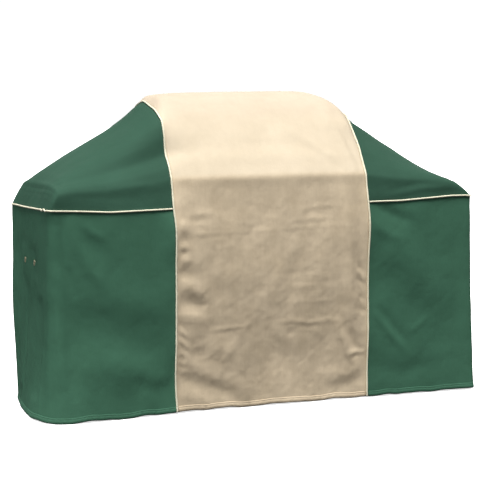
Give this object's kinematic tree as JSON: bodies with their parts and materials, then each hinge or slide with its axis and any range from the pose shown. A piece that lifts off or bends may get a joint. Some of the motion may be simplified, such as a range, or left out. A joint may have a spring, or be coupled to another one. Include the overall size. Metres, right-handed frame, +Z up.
{
  "type": "grill cover",
  "caption": "Fitted fabric cover for a cart grill: tan centre panel over the hood, green tent-shaped sides and skirts, corded piping, bound hem, end eyelets and inner hook-and-loop straps.",
  "frame": {"origin": "centre of the footprint, on the plane of the hem", "axes": "+Z up, front faces -Y, +X to the right seen from the front, along the cover's length"},
  "size_m": [1.5354, 0.5194, 1.067],
  "materials": {
    "tan_cloth": "matt woven polyester, lightly coated",
    "green_cloth": "matt woven polyester, lightly coated",
    "piping": "smooth cream binding, soft sheen",
    "filler_cord": "twisted cotton cord",
    "brass": "rolled brass, lightly dulled",
    "webbing": "woven webbing, matt",
    "loop_tape": "looped pile",
    "hook_tape": "moulded hooks, matt"
  },
  "bodies": {
    "cover": {"centre_panel": "tan_cloth", "left_top_panel": "green_cloth", "right_top_panel": "green_cloth", "left_skirt": "green_cloth", "right_skirt": "green_cloth", "left_centre_piping": "piping", "right_centre_piping": "piping", "left_centre_piping_cord": "filler_cord", "right_centre_piping_cord": "filler_cord", "left_shoulder_piping": "piping", "right_shoulder_piping": "piping", "left_shoulder_piping_cord": "filler_cord", "right_shoulder_piping_cord": "filler_cord", "centre_front_hem": "tan_cloth", "centre_rear_hem": "tan_cloth", "left_skirt_hem": "green_cloth", "right_skirt_hem": "green_cloth", "left_eyelet_patch": "green_cloth", "right_eyelet_patch": "green_cloth", "left_vent_eyelets": "brass", "right_vent_eyelets": "brass", "left_vent_washers": "brass", "right_vent_washers": "brass", "left_front_strap_anchor": "green_cloth", "left_rear_strap_anchor": "green_cloth", "right_front_strap_anchor": "green_cloth", "right_rear_strap_anchor": "green_cloth"},
    "left_front_strap": {"left_front_strap_upper": "webbing", "left_front_strap_loop_tape": "loop_tape"},
    "left_front_strap_end": {"left_front_strap_lower": "webbing", "left_front_strap_hook_tape": "hook_tape"},
    "left_rear_strap": {"left_rear_strap_upper": "webbing", "left_rear_strap_loop_tape": "loop_tape"},
    "left_rear_strap_end": {"left_rear_strap_lower": "webbing", "left_rear_strap_hook_tape": "hook_tape"},
    "right_front_strap": {"right_front_strap_upper": "webbing", "right_front_strap_loop_tape": "loop_tape"},
    "right_front_strap_end": {"right_front_strap_lower": "webbing", "right_front_strap_hook_tape": "hook_tape"},
    "right_rear_strap": {"right_rear_strap_upper": "webbing", "right_rear_strap_loop_tape": "loop_tape"},
    "right_rear_strap_end": {"right_rear_strap_lower": "webbing", "right_rear_strap_hook_tape": "hook_tape"}
  },
  "joints": [
    {"name": "left_front_strap_swing", "type": "hinge", "parent": "cover", "child": "left_front_strap", "pos_m": [-0.75745, -0.12, 0.329], "axis": [0, -1, 0], "range_deg": [0, 95]},
    {"name": "left_front_strap_fold", "type": "hinge", "parent": "left_front_strap", "child": "left_front_strap_end", "pos_m": [-0.75535, -0.12, 0.2048], "axis": [0, -1, 0], "range_deg": [0, 170]},
    {"name": "left_rear_strap_swing", "type": "hinge", "parent": "cover", "child": "left_rear_strap", "pos_m": [-0.75745, 0.12, 0.329], "axis": [0, -1, 0], "range_deg": [0, 95]},
    {"name": "left_rear_strap_fold", "type": "hinge", "parent": "left_rear_strap", "child": "left_rear_strap_end", "pos_m": [-0.75535, 0.12, 0.2048], "axis": [0, -1, 0], "range_deg": [0, 170]},
    {"name": "right_front_strap_swing", "type": "hinge", "parent": "cover", "child": "right_front_strap", "pos_m": [0.75745, -0.12, 0.329], "axis": [0, 1, 0], "range_deg": [0, 95]},
    {"name": "right_front_strap_fold", "type": "hinge", "parent": "right_front_strap", "child": "right_front_strap_end", "pos_m": [0.75535, -0.12, 0.2048], "axis": [0, 1, 0], "range_deg": [0, 170]},
    {"name": "right_rear_strap_swing", "type": "hinge", "parent": "cover", "child": "right_rear_strap", "pos_m": [0.75745, 0.12, 0.329], "axis": [0, 1, 0], "range_deg": [0, 95]},
    {"name": "right_rear_strap_fold", "type": "hinge", "parent": "right_rear_strap", "child": "right_rear_strap_end", "pos_m": [0.75535, 0.12, 0.2048], "axis": [0, 1, 0], "range_deg": [0, 170]}
  ]
}
